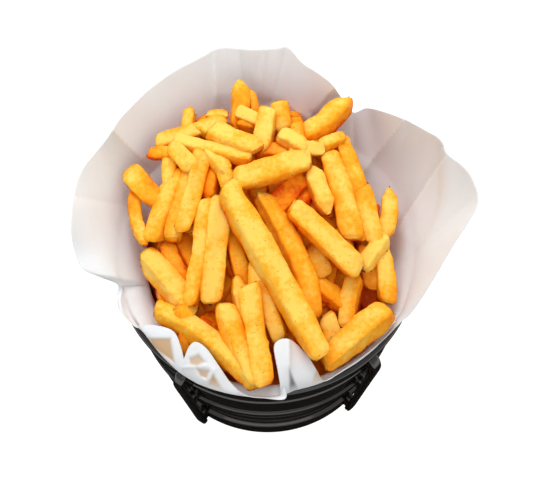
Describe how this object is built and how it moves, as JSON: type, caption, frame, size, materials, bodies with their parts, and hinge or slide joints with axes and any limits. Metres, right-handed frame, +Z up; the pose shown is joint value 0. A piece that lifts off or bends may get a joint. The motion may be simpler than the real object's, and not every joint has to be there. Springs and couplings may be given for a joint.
{
  "type": "french fries in a paper-lined basket",
  "caption": "A heap of seasoned french fries in white greaseproof paper, standing in a round tapering black plastic serving basket.",
  "frame": {"origin": "centre of the basket's flat base, on the surface it stands on", "axes": "+Z up, -Y towards the front where the paper is low, +X to the right seen from the front"},
  "size_m": [0.1351, 0.1246, 0.1138],
  "materials": {
    "basket_plastic": "glossy moulded black plastic with soft ring highlights",
    "greaseproof_paper": "thin white greaseproof paper, slightly see-through, creased",
    "fried_potato": "golden fried potato with a thin oil shine and fine dark seasoning"
  },
  "bodies": {
    "root": {"basket": "basket_plastic", "paper": "greaseproof_paper", "fries": "fried_potato"}
  },
  "joints": []
}
